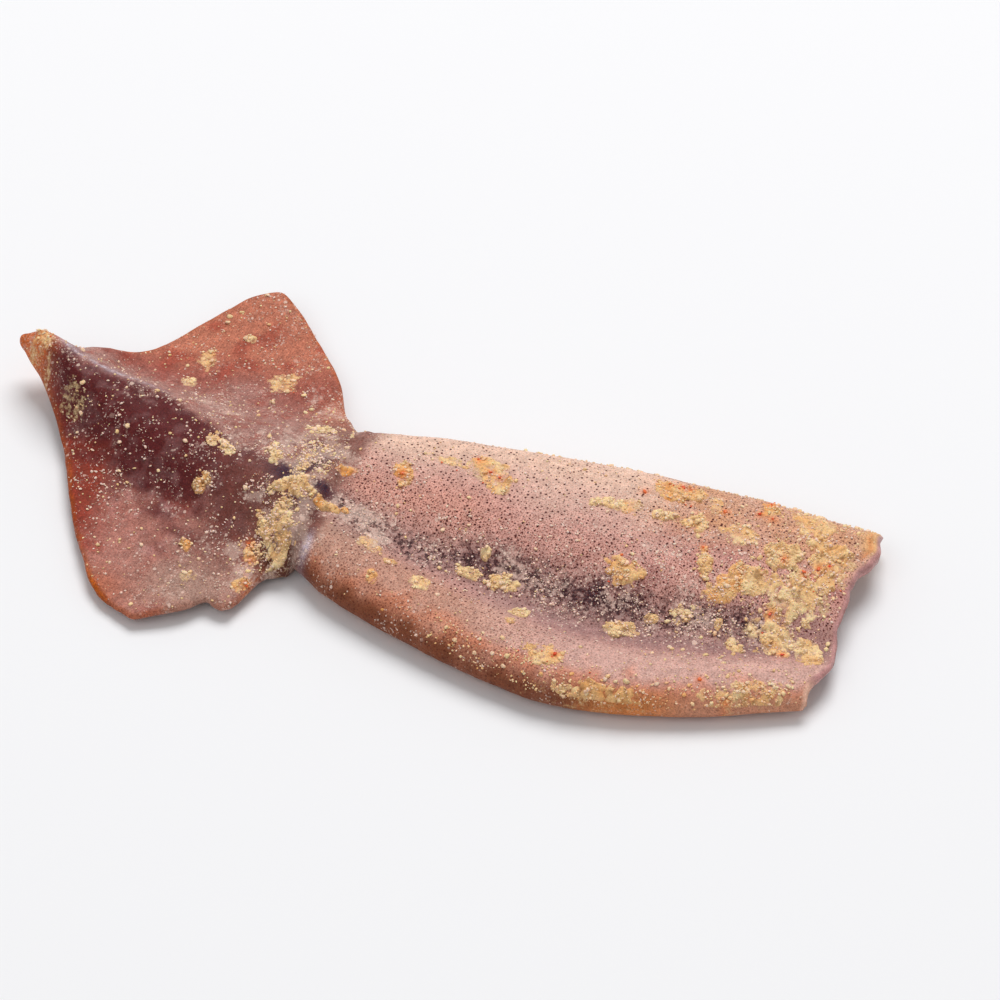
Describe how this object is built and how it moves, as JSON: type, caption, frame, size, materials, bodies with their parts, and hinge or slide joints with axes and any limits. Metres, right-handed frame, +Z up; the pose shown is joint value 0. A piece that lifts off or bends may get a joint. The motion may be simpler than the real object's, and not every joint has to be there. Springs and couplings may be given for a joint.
{
  "type": "rice bran pickled squid",
  "caption": "Whole squid mantle with its two tail fins, pickled and flattened, lying back up with clumps of bran paste stuck to its skin.",
  "frame": {"origin": "under the middle of the outline, on the ground", "axes": "+X along the body from the tail tip to the mouth, +Y to the far side, +Z up out of the back"},
  "size_m": [0.2487, 0.1256, 0.0206],
  "materials": {
    "squid_skin": "moist pink and purple skin with dark pigment dots, dusted and smeared with pale rice bran paste"
  },
  "bodies": {
    "root": {"squid": "squid_skin"}
  },
  "joints": []
}
